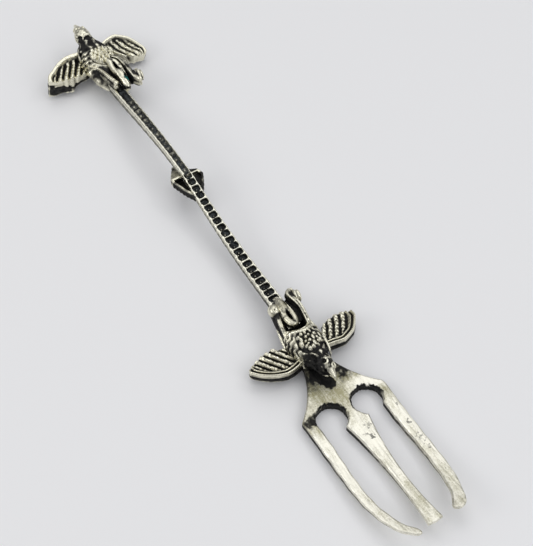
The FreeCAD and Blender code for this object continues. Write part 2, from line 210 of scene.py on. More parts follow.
def smooth_line(points, count):
    """Points on a Catmull-Rom line through the given ones."""
    p = np.array(points, float)
    p = np.vstack([2 * p[0] - p[1], p, 2 * p[-1] - p[-2]])
    out = []
    for s in np.linspace(0, len(p) - 3 - 1e-6, count):
        i = int(s)
        t = s - i
        a, b, c, e = p[i:i + 4]
        out.append(0.5 * (2 * b + (c - a) * t + (2 * a - 5 * b + 4 * c - e) * t * t
                          + (3 * b - a - 3 * c + e) * t ** 3))
    return np.array(out)


def plan_distance(x, y, outline):
    """Signed distance in the plane to a closed outline, negative inside."""
    best, inside = math.inf, False
    for a, b in zip(outline, np.roll(outline, -1, axis=0)):
        e = b - a
        wx, wy = x - a[0], y - a[1]
        t = np.clip((wx * e[0] + wy * e[1]) / max(e @ e, 1e-12), 0, 1)
        best = np.minimum(best, (wx - t * e[0]) ** 2 + (wy - t * e[1]) ** 2)
        if abs(e[1]) > 1e-12:
            inside = inside ^ (((a[1] <= y) != (b[1] <= y)) & (wx < wy * e[0] / e[1]))
    return np.where(inside, -1, 1) * np.sqrt(best)


def arc(a, b, radius=0, steps=14):
    """Points from a up to b, bulging left of travel when the radius is positive."""
    a, b = np.array(a, float), np.array(b, float)
    if not radius:
        return [a]
    chord = b - a
    length = math.hypot(*chord)
    left = np.array([-chord[1], chord[0]]) / length
    r = abs(radius)
    drop = math.sqrt(max(r * r - length * length / 4, 0))
    centre = (a + b) / 2 - left * math.copysign(drop, radius)
    start = math.atan2(*(a - centre)[::-1])
    turn = math.atan2(*(b - centre)[::-1]) - start
    turn = (turn + math.pi) % (2 * math.pi) - math.pi
    angles = [start + turn * i / steps for i in range(steps)]
    return [centre + r * np.array([math.cos(t), math.sin(t)]) for t in angles]


def outline(nodes):
    """A closed outline: each node is x, y and, where an arc leaves it, the arc's radius."""
    out = []
    for i, node in enumerate(nodes):
        after = nodes[(i + 1) % len(nodes)]
        out += arc(node[:2], after[:2], *node[2:])
    return np.array(out)


def value_noise(points, scale, seed, octaves=3):
    """Smooth random values from -1 to 1 at points, repeatable."""
    out = np.zeros(len(points))
    draw = np.random.default_rng(seed)
    total = 0.0
    for o in range(octaves):
        table = draw.random((NOISE_CELLS,) * 3) * 2 - 1
        p = points / (scale / 2 ** o) + draw.random(3) * NOISE_CELLS
        i = np.floor(p).astype(int)
        f = p - i
        f = f * f * (3 - 2 * f)
        out += trilinear(lambda c: table[tuple(((i + c) % NOISE_CELLS).T)], f) / 2 ** o
        total += 1 / 2 ** o
    return out / total


# ---- pieces
def new_object(name, data):
    obj = bpy.data.objects.new(name, data)
    bpy.context.scene.collection.objects.link(obj)
    return obj


def piece(name, block, node, material, dark, move=(0, 0, 0), turn=np.eye(3),
          warp=None, polish=None, green=None):
    """Makes the Blender piece for one CAD node. dark(points, fine, wide) gives the black patina,
    with painted shade in places, from 0 to 1; the brightness function (points, fine, wide) gives how
    bright the bare metal is, from wear and from painted highlights and shade, and green(points) the
    verdigris; warp moves points in the block's frame; turn and move place it on the fork."""
    points, quads, (fine, wide) = skin(block)
    mask = np.clip(dark(points, fine, wide), 0, 1)
    shine = polish(points, fine, wide) if polish else 0.5 + 1.6 * fine
    tarnish = green(points) if green else np.zeros(len(points))
    if warp:
        points = warp(points)
    points = points @ np.array(turn).T + np.array(move)
    mesh = bpy.data.meshes.new(name)
    mesh.vertices.add(len(points))
    mesh.vertices.foreach_set("co", (points * MM).astype(np.float32).ravel())
    mesh.loops.add(len(quads) * 4)
    mesh.loops.foreach_set("vertex_index", quads.astype(np.int32).ravel())
    mesh.polygons.add(len(quads))
    mesh.polygons.foreach_set("loop_start", np.arange(0, len(quads) * 4, 4, dtype=np.int32))
    mesh.polygons.foreach_set("use_smooth", np.ones(len(quads), bool))
    mesh.update(calc_edges=True)
    mesh.validate()
    for label, values in (("patina_and_painted_shade", mask), ("polish", np.clip(shine, 0, 1)), ("verdigris", tarnish)):
        layer = mesh.attributes.new(label, "FLOAT", "POINT")
        layer.data.foreach_set("value", values.astype(np.float32))
    obj = new_object(name, mesh)
    mesh.materials.append(material)
    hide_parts(node)
    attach(obj, "root")


# ---- materials
def put(socket, value):
    """Gives an input of a node a number or a colour, or links it to another node's output."""
    if isinstance(value, bpy.types.NodeSocket):
        socket.id_data.links.new(value, socket)
    else:
        socket.default_value = value


def feed(node, **inputs):
    """Fills inputs of a node by name, an underscore standing for a space."""
    for label, value in inputs.items():
        put(node.inputs[label.replace("_", " ")], value)
    return node


def colour_ramp(value, low, low_colour, high, high_colour):
    made = value.id_data.nodes.new("ShaderNodeValToRGB")
    ends = made.color_ramp.elements
    ends[0].position, ends[0].color = low, low_colour
    ends[1].position, ends[1].color = high, high_colour
    return feed(made, Fac=value).outputs["Color"]


def silver(name, light, mid, grain, scratches, rough, bump, patina_and_shade_pale):
    """Antiqued silver. One attribute blackens hollows with patina and also paints shade, another
    brightens worn metal and also paints highlights and shade, the verdigris attribute tints it, and
    noise breaks them up; scratches run across the sheet."""
    material = bpy.data.materials.new(name)
    material.use_nodes = True
    nodes = material.node_tree.nodes
    where = nodes.new("ShaderNodeTexCoord").outputs["Object"]

    def attribute(label):
        made = nodes.new("ShaderNodeAttribute")
        made.attribute_name = label
        return made.outputs["Fac"]

    def math_node(operation, a, b, clamp=False):
        made = nodes.new("ShaderNodeMath")
        made.operation, made.use_clamp = operation, clamp
        put(made.inputs[0], a)
        put(made.inputs[1], b)
        return made.outputs[0]

    def plus(a, b):
        return math_node("ADD", a, b)

    def times(a, b):
        return math_node("MULTIPLY", a, b)

    def swing(value, amount):
        """How far a noise lies from its middle, times amount."""
        return times(math_node("SUBTRACT", value, 0.5), amount)

    def noise(scale, detail, roughness=0.6, stretch=None, turned=0.0):
        source = where
        if stretch:
            source = feed(nodes.new("ShaderNodeMapping"), Vector=where, Scale=stretch,
                          Rotation=(0, 0, math.radians(turned))).outputs[0]
        return feed(nodes.new("ShaderNodeTexNoise"), Vector=source, Scale=scale, Detail=detail,
                    Roughness=roughness).outputs["Fac"]

    def mixed(factor, below, above):
        made = nodes.new("ShaderNodeMix")
        made.data_type = "RGBA"
        feed(made, Factor=factor)
        put(made.inputs[6], below)
        put(made.inputs[7], above)
        return made.outputs[2]

    broad, fine, speck = noise(260, 3), noise(1500, 4, 0.65), noise(4200, 2, 0.7)
    # patina and painted shade: the attribute with a ragged border
    sharp = nodes.new("ShaderNodeMapRange")
    sharp.interpolation_type = "SMOOTHSTEP"
    raw = plus(plus(attribute("patina_and_painted_shade"), swing(fine, 0.85)), swing(broad, 0.25))
    black = feed(sharp, Value=raw, From_Min=0.16, From_Max=0.86).outputs[0]
    # clean metal: pale where worn and where highlights are painted, greyer elsewhere and where shade is
    # painted
    shade = plus(attribute("polish"), swing(broad, 0.7))
    height = plus(times(fine, grain), times(speck, grain * 0.45))
    rougher = plus(rough, times(broad, 0.14))
    if scratches:
        wear = noise(620, 7, 0.82, (0.45, 1.8, 1.0), -40)
        lines = noise(900, 3, 0.7, (0.05, 2.2, 1.0), -58)
        hair = noise(1400, 2, 0.6, (0.06, 3.0, 1.0), -22)
        shade = plus(plus(shade, swing(speck, 1.0)), swing(wear, scratches))
        height = plus(height, plus(times(lines, scratches), times(hair, scratches * 0.5)))
        rougher = plus(rougher, times(lines, 0.12))
    metal = colour_ramp(shade, 0.1, mid, 0.9, light)
    # colour of the black patina, also used where shade is painted
    patina_and_shade_colour = colour_ramp(fine, 0.42, (0.007, 0.007, 0.007, 1), 0.78, patina_and_shade_pale)
    relief = feed(nodes.new("ShaderNodeBump"), Height=height, Strength=bump, Distance=0.00012)
    feed(nodes["Principled BSDF"], Normal=relief.outputs[0],
         Base_Color=mixed(attribute("verdigris"), mixed(black, metal, patina_and_shade_colour), (0.03, 0.20, 0.18, 1)),
         Metallic=math_node("SUBTRACT", 1.0, times(black, 0.30)),
         Roughness=math_node("ADD", rougher, times(black, 0.28), clamp=True))
    return material


SHEET = silver("SheetSilver", light=(0.93, 0.905, 0.79, 1), mid=(0.34, 0.32, 0.20, 1), grain=0.5,
               scratches=2.0, rough=0.20, bump=0.6, patina_and_shade_pale=(0.035, 0.034, 0.030, 1))
CAST = silver("CastSilver", light=(0.86, 0.83, 0.67, 1), mid=(0.30, 0.28, 0.20, 1), grain=1.0,
              scratches=0.0, rough=0.18, bump=0.55, patina_and_shade_pale=(0.05, 0.048, 0.043, 1))
BAR = silver("BarSilver", light=(0.86, 0.84, 0.71, 1), mid=(0.34, 0.32, 0.24, 1), grain=0.7,
             scratches=0.0, rough=0.18, bump=0.4, patina_and_shade_pale=(0.10, 0.115, 0.12, 1))


# ---- fork head
THICK, TIP_THINNER = 1.8, 1.1
TINE_BEND, TINE_SPAN = 5.6, 18.0
KEYHOLE_Y, KEYHOLE_R = 3.12, 2.4


def tine_rise(x, rise):
    t = np.maximum(x - TINE_BEND, 0) / TINE_SPAN
    return rise * t * t


def underside(x):
    """Height of the sheet's lower face, which rises as the tines get thinner."""
    return TIP_THINNER * np.clip((x - TINE_BEND) / TINE_SPAN, 0, 1)


def flank_plan(edge, shoulder):
    """Plan of one outer tine: inner edge, tip and outer edge on a smooth line, then shoulder."""
    line = smooth_line(edge, 110)
    flare = outline([shoulder + (17,), (-9.5, 2.0), (-12.1, 2.0), (-12.1, -1), (0, -1)])
    return np.vstack([line, flare])


NEAR_FLANK = flank_plan(
    [(0, 5.45), (3.6, 5.45), (6.9, 5.55), (10.3, 5.66), (13.8, 5.6), (16.9, 5.1), (19.9, 4.15),
     (21.3, 3.15), (22.1, 2.75), (22.5, 3.05), (22.2, 3.9), (20.1, 5.5), (17.1, 6.5), (13.9, 7.0),
     (10.0, 7.12), (5.0, 7.12), (-0.4, 7.14)], (-1.7, 7.2))
FAR_FLANK = flank_plan(
    [(0, 5.0), (3.4, 4.97), (6.2, 5.05), (9.9, 5.18), (13.0, 5.12), (16.2, 4.88), (18.7, 4.4),
     (20.2, 3.75), (21.1, 3.15), (21.7, 3.15), (22.15, 3.9), (22.0, 4.7), (21.2, 5.4), (18.4, 6.35),
     (15.4, 6.85), (11.4, 7.0), (7.5, 7.0), (3.5, 6.96), (0, 7.0), (-1.0, 7.02)], (-1.6, 6.85))
MIDDLE_TINE = outline([(-1.9, -1), (21.95, -1), (21.6, 1.28, 60), (2.15, 1.95), (-1.9, 2.15)])


def head_block():
    block = Block((-12.6, -7.9, -0.5), (23.2, 7.9, 2.4), 0.085)
    x, y, z = block.coords()
    far = np.abs(y)
    flank = np.where(y > 0, plan_distance(x, far, FAR_FLANK), plan_distance(x, far, NEAR_FLANK))
    flank = flank + 0.035 * np.sin(x * 1.9 + 3 * np.sign(y)) * ramp(x, 1, 4)
    flat = np.minimum(flank, plan_distance(x, far, MIDDLE_TINE))
    hole = np.sqrt(x ** 2 + (far - KEYHOLE_Y) ** 2) - KEYHOLE_R
    around = np.arctan2(x, far - KEYHOLE_Y)
    ragged = 0.03 * np.sin(7 * around + 2 * np.sign(y)) \
        + 0.03 * np.sin(17 * around + 1.1) * np.sin(5 * around) + 0.02 * np.sin(31 * around + 0.7)
    flat = smooth_max(flat, -(hole + ragged), 0.12)
    thick = THICK - underside(x)
    wall = np.abs(z - THICK + thick / 2) - thick / 2
    block.d = smooth_max(flat, wall, 0.34).astype(np.float32)
    # chips along the rims of the keyholes
    chips = np.random.default_rng(3)
    for side in (1, -1):
        for _ in range(16):
            angle = chips.uniform(math.pi * 0.45, math.pi * 1.6)
            cx, cy = 2.42 * math.cos(angle), side * (KEYHOLE_Y + 2.42 * math.sin(angle))
            r = chips.uniform(0.12, 0.3)
            c = (cx, cy, THICK + chips.uniform(-0.1, 0.1))
            add_ball(block, c, (r, r, r * 0.8), 0.6, 0.08, carve=True)
    return block


# spots on the tines: x, y, radius and how dark
SPOTS = ((6.3, 6.1, 0.8, 0.45), (9.3, 6.1, 1.1, 0.42), (11.2, 6.4, 0.7, 0.36), (3.9, 0.7, 0.8, 0.36),
         (5.4, 0.2, 0.8, 0.45), (4.6, -0.6, 0.5, 0.36), (3.0, 6.4, 0.5, 0.4), (15.5, 6.0, 0.3, 0.4))


def head_dark(points, fine, wide):
    x, y, z = points.T
    low = ramp(THICK * 0.80 - z, 0.0, 0.5)
    up = 1 - low
    ring = np.abs(np.hypot(x, np.abs(y) - KEYHOLE_Y) - KEYHOLE_R)
    rough = value_noise(points, 1.2, 11)
    # painted shade: the side walls, keyhole walls and underside of the sheet are blackened, a little
    # less towards the tines
    mask = 0.62 * low * (1 - 0.35 * ramp(x, 2, 9)) + 0.25 * low
    torn = value_noise(points, 0.45, 13)
    pitted = value_noise(points, 0.34, 14, 2)
    rim = ramp(0.34 - ring + 0.45 * rough + 0.35 * torn, 0, 0.25)
    mask = mask + up * rim * 0.9 * ramp(1.2 - x, 0, 1.6)
    # painted shade blackens the walls of the keyholes
    mask = np.maximum(mask, low * ramp(0.5 - ring, 0, 0.3))
    # black in front of the beak: a painted shadow under the bird's head, laid over black patina
    throat = np.hypot((x + 6.2 - 0.35 * (y + 0.5)) / 2.3, (y + 0.35) / 1.75)
    mask = np.maximum(mask, up * ramp(1.05 - throat + 0.35 * rough + 0.2 * torn, 0, 0.35))
    # stain and streak on the near shoulder
    u, v = (x + 1.3) * 0.93 + (y + 5.4) * 0.37, (y + 5.4) * 0.93 - (x + 1.3) * 0.37
    shoulder = np.hypot(u / 1.1, v / 1.95)
    mask = np.maximum(mask, up * 0.8 * ramp(1.1 - shoulder + 0.5 * rough + 0.4 * torn, 0.0, 0.8))
    streak = ramp(0.45 - np.abs(v + 1.5) + 0.2 * torn, 0, 0.3) * ramp(1.4 - np.abs(u), 0, 1)
    mask = np.maximum(mask, up * 0.75 * streak)
    for cx, cy, r, black in SPOTS:
        spot = np.hypot(x - cx, (y - cy) * 1.5) / r
        mask = np.maximum(mask, up * 1.25 * black * ramp(0.7 - spot + 1.7 * pitted, 0.0, 0.6))
    neck = ramp(-3.4 - x, 0, 3.0) * (0.62 + 0.35 * torn)
    edge = (0.20 + 0.3 * torn) * ramp(y, 0.5, 2.0) * ramp(4.4 - np.hypot(x + 6.0, y), 0, 1.5)
    # the painted shade of the lower faces is lightened on the underside, most along the tines
    bottom = ramp(0.16 + underside(x) - z, 0, 0.12)
    mask = mask * (1 - bottom * (0.35 + 0.5 * ramp(x, -3, 3)))
    return mask + up * (neck + edge) + 0.1 * rough


def head_polish(points, fine, wide):
    x, y, z = points.T
    rough = value_noise(points, 2.2, 12)
    # painted highlight: the tines are brighter than the plate
    tine = ramp(x + 0.35 * np.abs(np.abs(y) - 5), 0.2, 4.2)
    # painted highlight across the far shoulder, with a weaker one on the near shoulder
    shoulder_highlight = 0.95 * ramp(y, 0.5, 4.5) * ramp(2.2 - np.abs(x + 3.0 - 0.12 * y), 0, 1.8) \
        + 0.25 * ramp(-y, 3.0, 5.0) * ramp(2.0 - np.abs(x + 3.4), 0, 1.5)
    # painted shade: the tines dim towards their tips
    tip_shade = 0.22 * ramp(x, 8, 19)
    # painted glossy streaks along the tines
    streak = value_noise(points * (0.3, 1.2, 1.0), 1.6, 15, 2)
    return 0.25 + 0.60 * tine + shoulder_highlight - tip_shade + 0.5 * np.maximum(fine, 0) + 0.18 * rough \
        + 0.30 * tine * streak


def head_warp(points):
    x, y, z = points.T
    share = ramp(np.abs(y), 1.9, 3.2)
    rise = tine_rise(x, 1.6) * (1 - share) + tine_rise(x, 2.5) * share
    return np.stack([x, y, np.maximum(z + rise, 0.0)], 1)


piece("Fork_Head", head_block(), "fork_head", SHEET, head_dark,
      warp=head_warp, polish=head_polish)


# ---- handle bars
# stations along each bar: x, height of the top, width and depth
LOWER = [(-48.1, 6.2, 1.6, 1.6), (-40.0, 4.6, 1.75, 1.6), (-31.8, 3.75, 1.95, 1.65),
         (-23.5, 3.85, 2.2, 1.75), (-15.2, 4.05, 2.35, 1.85)]
UPPER = [(-76.0, 3.7, 2.25, 1.8), (-69.0, 4.5, 2.1, 1.75), (-62.0, 5.45, 1.9, 1.65),
         (-55.0, 6.1, 1.7, 1.6), (-48.1, 6.2, 1.6, 1.6)]


def along_bar(stations, x, column):
    known = smooth_line([(s[0], s[column]) for s in stations], 60)
    return np.interp(x, known[:, 0], known[:, 1])


COLLAR_X = -48.1
PITS_FROM = -46.4
LOWER_PITCH, UPPER_PITCH = 1.32, 1.34
TROUGH_OFF = 0.11


def bar_block(stations, pitch, first, last, deep, blind):
    """The bar straightened out, its top at 0, with pits number first to last, deep below the top.
    The pits of a blind bar are shallow and lie in a trough."""
    block = Block((stations[0][0] - 0.25, -1.75, -2.2), (stations[-1][0] + 0.25, 1.75, 0.45), 0.06)
    x, y, z = block.coords()
    half = (along_bar(stations, x, 2) / 2).astype(np.float32)
    deep_of = along_bar(stations, x, 3).astype(np.float32)
    ends = np.maximum(stations[0][0] - x, x - stations[-1][0])
    wobble = 0.02 * np.sin(x * 3.1) + 0.015 * np.sin(x * 7.7 + 1)
    side = np.abs(y) - half + wobble + 0.10 * bell(z + 0.46 * deep_of, 0.14) \
        + 0.05 * bell(z + 0.78 * deep_of, 0.10) + 0.12 * ramp(-z / deep_of, 0.8, 1.0)
    tall = np.maximum(z, -z - deep_of)
    body = smooth_max(smooth_max(side, tall, 0.3), ends, 0.1)
    off, channel, floor, soft = (TROUGH_OFF, 0.52 * half + 0.06, 0.30, 0.12) if blind else \
        (0.0, 0.62 * half, 0.10, 0.10)
    trough = smooth_max(np.abs(y - off) - channel, -(z + floor), soft)
    body = smooth_max(body, -trough, 0.08 if blind else 0.06)
    block.d = body.astype(np.float32)
    marks = np.random.default_rng(int(abs(first) * 7 + last + 50))
    for i in range(first, last + 1):
        px = PITS_FROM + i * pitch + marks.uniform(-0.05, 0.05)
        w = float(along_bar(stations, np.array([px]), 2)[0]) / 2
        reach = (0.58 * w + 0.05) if blind else (0.70 * w + 0.07)
        long = pitch * 0.462 * marks.uniform(0.95, 1.04)
        turn = marks.uniform(-0.12, 0.12)

        def pit(x, y, z):
            u, v = (x - px) + turn * y, y - off - turn * (x - px)
            ring = (np.abs(u / long) ** 2.6 + np.abs(v / reach) ** 2.6) ** (1 / 2.6)
            return smooth_max((ring - 1) * min(long, reach), -(z + deep) - 0.12 * (1 - ring), 0.12)

        block.carve(pit, (px - pitch, -1.4, -deep - 0.5), (px + pitch, 1.4, 0.6), 0.09)
        bead = (px + marks.uniform(-0.12, 0.12), off + marks.uniform(-0.12, 0.12), -deep - 0.02)
        size = (0.30, 0.24, 0.17) if blind else (0.27, 0.22, 0.20)
        add_ball(block, bead, size, 0.6, 0.08)
    return block


def half_width(x):
    return np.where(x > COLLAR_X, along_bar(LOWER, x, 2), along_bar(UPPER, x, 2)) / 2


def bar_dark(shallow, black_end=None):
    def dark(points, fine, wide):
        x, y, z = points.T
        rough, mottled = value_noise(points, 0.8, 21), value_noise(points, 0.55, 23)
        low = ramp(-z, 0.10, 0.30)
        if shallow:
            inner = ramp(half_width(x) * 0.52 + 0.12 - np.abs(y - TROUGH_OFF), 0, 0.07)
            gap = np.abs(((x - PITS_FROM) / UPPER_PITCH + 0.5) % 1.0 - 0.5) * 2
            black = 0.72 + 0.36 * ramp(gap, 0.55, 0.95) - 0.15 * ramp(fine, 0.0, 0.25) + 0.30 * mottled
        else:
            inner = ramp(half_width(x) * 0.88 - np.abs(y), 0, 0.10)
            black = 0.93 + 0.2 * mottled
        # painted shade: the outer side walls darken towards their foot
        edge = (0.20 if shallow else 0.26) * ramp(-z, 0.3, 0.6) + 0.45 * ramp(-z, 0.7, 1.0)
        mask = low * inner * black + (1 - inner) * edge
        if black_end is not None:
            mask = mask + inner * low * ramp(black_end - x, 0, 1.5)
        bright = np.where(inner * low > 0.5, 0.30 if shallow else 0.50, 0.8)
        return mask - ramp(fine, 0.12, 0.36) * bright + 0.10 * rough
    return dark


def bar_polish(points, fine, wide):
    x, y, z = points.T
    rough = value_noise(points, 1.6, 22)
    # painted shade: the side walls grow greyer lower down
    return 0.95 - 0.55 * ramp(-z, 0.12, 0.42) + 0.5 * np.maximum(fine, 0) + 0.2 * rough


def bar_warp(stations):
    return lambda points: points + np.outer(along_bar(stations, points[:, 0], 1), (0, 0, 1))


lower_block = bar_block(LOWER, LOWER_PITCH, -1, 22, 0.78, False)
for chip in ((-24.2, 0.92), (-22.9, 0.95), (-21.4, 0.97), (-20.1, 0.95), (-25.6, 0.88)):
    add_ball(lower_block, chip + (0.02,), (0.12, 0.1, 0.14), 0.4, 0.05, carve=True)
piece("Lower_Shaft", lower_block, "lower_shaft", BAR, bar_dark(False),
      warp=bar_warp(LOWER), polish=bar_polish)
piece("Upper_Shaft", bar_block(UPPER, UPPER_PITCH, -19, -1, 0.46, True), "upper_shaft",
      BAR, bar_dark(True, -68.2), warp=bar_warp(UPPER), polish=bar_polish)


# ---- collar
# for each side: plan of the cheek, plan of its hollow, height of its top
CHEEKS = {
    1: ([(-50.8, 0.45), (-44.1, 0.45), (-44.1, 0.75), (-46.4, 2.15), (-47.9, 2.9), (-49.3, 2.5),
         (-50.8, 0.8)],
        [(-48.75, 0.5), (-44.9, 0.5), (-46.4, 1.75), (-47.8, 2.45), (-48.75, 2.2)], 4.7),
    -1: ([(-51.9, 0.45), (-44.1, 0.45), (-44.1, 0.8), (-45.9, 1.65), (-48.35, 2.42), (-49.3, 2.4),
          (-51.9, 0.8)],
         [(-48.6, 0.5), (-44.7, 0.5), (-45.8, 1.3), (-48.1, 2.12), (-48.6, 2.12)], 5.2),
}


def cheek_block(side):
    block = side_block(side, (-52.3, -43.6), (0.3, 3.2), (3.0, 5.7), 0.055)
    x, y, z = block.coords()
    far = y * side
    edge, hollow, level = CHEEKS[side]
    plan = plan_distance(x, far, np.array(edge))
    top = level - 0.36 * np.maximum(-48.9 - x, 0) - 0.10 * np.maximum(x + 46.5, 0)
    wall = np.maximum(z - top, 3.55 - z)
    lean = plan + 0.12 * bell(z - 4.3, 0.12) + 0.05 * np.sin(9 * x) * ramp(4.2 - z, 0, 0.2)
    pocket = smooth_max(plan_distance(x, far, np.array(hollow)), 4.0 - z, 0.1)
    solid = smooth_max(lean, wall, 0.14).astype(np.float32)
    block.d = smooth_max(solid, -pocket, 0.06).astype(np.float32)
    return block


def cheek_dark(points, fine, wide):
    x, y, z = points.T
    left = y > 0
    rough = value_noise(points, 0.7, 31)
    below = np.where(left, CHEEKS[1][2], CHEEKS[-1][2]) - z
    mask = np.where(left, 0.70, 0.46) * ramp(-48.9 - x, -0.1, 0.3) + 0.66 * ramp(x, -48.5, -48.1) \
        + 0.95 * ramp(below - 0.2, 0.0, 0.3) * ramp(x, -48.8, -48.6) + 0.35 * ramp(below - 0.5, 0, 0.5)
    ridge = ramp(0.50 - np.abs(x + 48.75), 0, 0.25)
    edge = np.where(left, 0.16, 0.12 + 0.40 * ridge) * ramp(fine, 0.16, 0.42)
    return mask - edge + 0.45 * rough + np.where(left, 0.22, 0.0)


piece("Collar_Left", cheek_block(1), "collar_left", CAST, cheek_dark)
piece("Collar_Right", cheek_block(-1), "collar_right", CAST, cheek_dark)


# ---- the bird castings
def bumps(x, y, centres):
    """Rounded beads seen from above, 1 at each centre and 0 between them."""
    best = np.zeros(np.broadcast_shapes(x.shape, y.shape), np.float32)
    for cx, cy, rx, ry in centres:
        best = np.maximum(best, np.exp(-(((x - cx) / rx) ** 2 + ((y - cy) / ry) ** 2) ** 1.5))
    return best


def body_block(beads_at, rim, hollow, eyes, sockets, straps):
    """Body, neck, head and beak. beads_at is the middle of the beads and half their width."""
    block = Block((-7.3, -3.5, -0.3), (9.2, 3.5, 6.6), 0.08)
    whole = ((-9, -9, -9), (12, 9, 9))
    bx, by, half = beads_at
    for c, r, k in (((-0.4, 0, 2.9), (4.2, 2.95, 2.8), 0.3), ((-4.2, 0, 2.6), (3.0, 2.2, 1.5), 0.9),
                    ((2.0, 0, 3.0), (2.4, 2.2, 2.25), 0.8)):
        block.add(ellipsoid(c, r), *whole, k)
    block.add(rod(np.array((2.4, 0, 3.7)), np.array((4.6, 0.1, 4.35)), 1.7, 1.3), *whole, 0.5)
    x, y, z = block.coords()
    # beads on the back, uneven in size and closeness
    spots = np.random.default_rng(8)
    centres = []
    for row in range(-4, 5):
        for col in range(-4, 5):
            cx = bx + row * 0.66 + spots.uniform(-0.16, 0.16)
            cy = by + (col + 0.5 * (row % 2)) * 0.70 + spots.uniform(-0.16, 0.16)
            if ((cx - bx) / 1.95) ** 2 + ((cy - by) / half) ** 2 > 1:
                continue
            big = spots.uniform(0.22, 0.36)
            centres.append((cx, cy, big * spots.uniform(0.8, 1.9), big))
    beads = bumps(x, y, centres)
    spread = np.hypot((x - bx) / 2.1, (y - by) / (half + 0.15))
    zone = ramp(z, 3.9, 4.6) * ramp(1.1 - spread, 0, 0.15)
    block.d = block.d - zone * (0.50 * beads - 0.24)
    # grooved neck
    around = np.arctan2(y, z - 3.4)
    neck = ramp(x, bx + 1.6, bx + 2.3) * ramp(4.6 - x, 0, 0.5)
    block.d = block.d + neck * (0.10 + 0.15 * np.cos(around * 9 + 0.9 * np.sin(x * 2.6)))
    # feather folds along the flanks
    flank = ramp(np.abs(y), 1.3, 2.0) * ramp(x, -4.8, -3.8) * ramp(2.6 - x, 0, 1) * ramp(z, 0.8, 1.6)
    row = (x + 0.55 * z) * 1.05
    lobe = np.abs(np.sin(3.0 * (z - 0.45 * x)))
    block.d = block.d + flank * (0.20 * np.abs((row + 0.25 * lobe) % 1.0 - 0.5) * 2 - 0.10 * lobe)
    block.d = block.d.astype(np.float32)
    # hollow between rump and tail, with a rim in front of it
    if hollow:
        block.carve(ellipsoid((-3.9, 0.1, 5.2), (2.6, 1.9, 1.7)), (-7, -3, 3), (-0.6, 3, 6.6), 0.12)
        for side in (1, -1):
            block.carve(ellipsoid((-3.4, 1.15 * side, 4.2), (1.7, 0.7, 1.7)),
                        (-6, -3, 2), (-1, 3, 6.6), 0.1)
            block.carve(ellipsoid((-3.2, 2.5 * side, 3.5), (0.6, 0.7, 0.5)),
                        (-5, -3.5, 2), (-2, 3.5, 5), 0.1)
    if rim:
        add_strand(block, rim, 0.27, 0.27, 16, 0.10)
    for line, r in straps:
        add_strand(block, line, r, r * 0.6, 9, 0.09)
    for side in (1, -1):
        if hollow:
            add_strand(block, [(-5.9, 1.55 * side, 3.0), (-4.0, 2.3 * side, 3.4),
                               (-2.6, 2.7 * side, 3.3), (-1.0, 2.95 * side, 2.9)], 0.34, 0.20, 9, 0.10)
        else:
            add_tube(block, [(-6.5, side, 2.5), (-4.6, 1.75 * side, 2.8), (-2.6, 2.3 * side, 3.0)],
                     [0.42, 0.60, 0.65], 0.6)
    # head: skull, cheeks, beak with a hooked tip, brow lines, ringed eyes
    block.add(ellipsoid((5.1, 0.1, 4.45), (1.6, 1.32, 1.2)), *whole, 0.2)
    block.add(ellipsoid((6.2, 0.25, 4.7), (0.95, 0.72, 0.66)), (4, -2, 3.5), (8, 2, 6.5), 0.25)
    beak = smooth_line([(6.1, 0.2, 4.75), (7.0, 0.2, 4.6), (7.75, 0.15, 4.35), (8.2, 0.1, 3.85)], 9)
    add_tube(block, beak, [0.66, 0.58, 0.48, 0.40, 0.33, 0.27, 0.20, 0.14, 0.08], 0.15)
    add_tube(block, [(6.0, 0.1, 4.1), (7.0, 0.1, 3.9), (7.5, 0.1, 3.85)], [0.5, 0.3, 0.14], 0.1)
    for eye, normal, r in eyes:
        eye, normal = np.array(eye), np.array(normal)
        normal = normal / np.linalg.norm(normal)
        u = np.cross(normal, (1.0, 0, 0))
        u /= np.linalg.norm(u)
        v = np.cross(normal, u)
        block.carve(ellipsoid(eye + normal * 0.2, (r, r, r)), eye - 1.2, eye + 1.2, 0.05)
        ring = [eye + r * 1.12 * (1.12 * v * math.sin(t) + u * math.cos(t))
                for t in np.linspace(0, 2 * math.pi, 17)]
        add_tube(block, ring, [0.15] * 17, 0.06)
        block.add(ellipsoid(eye - normal * 0.1, [r * 0.4] * 3), eye - 0.8, eye + 0.8, 0.04)
    for c, r in sockets:
        add_ball(block, c, r, 1.5, 0.08, carve=True)
    for side in (1, -1):
        add_tube(block, [(5.7, 1.15 * side, 4.3), (6.6, 0.62 * side + 0.1, 4.25),
                         (7.4, 0.3 * side + 0.1, 4.15)], [0.08] * 3, 0.05, carve=True)
        add_strand(block, [(3.9, 1.3 * side, 4.0), (4.9, 1.4 * side, 3.9), (6.2, 0.9 * side, 3.8),
                           (6.9, 0.5 * side, 3.9)], 0.15, 0.15, 8, 0.12)
        add_strand(block, [(4.1, 1.25 * side, 4.7), (5.0, 1.45 * side, 4.45),
                           (5.9, 1.1 * side, 4.4)], 0.09, 0.09, 6, 0.05, carve=True)
    x, y, z = block.coords()
    skull = ramp(x, 2.4, 3.0) * ramp(6.6 - x, 0, 0.8) * ramp(z, 2.0, 2.6)
    block.d = block.d + skull * 0.05 * np.sin(9 * x + 4 * np.sin(3 * y)) \
        * np.sin(8 * y + 3 * np.sin(5 * z))
    block.d = smooth_max(block.d, 0.02 - z, 0.6).astype(np.float32)
    return block


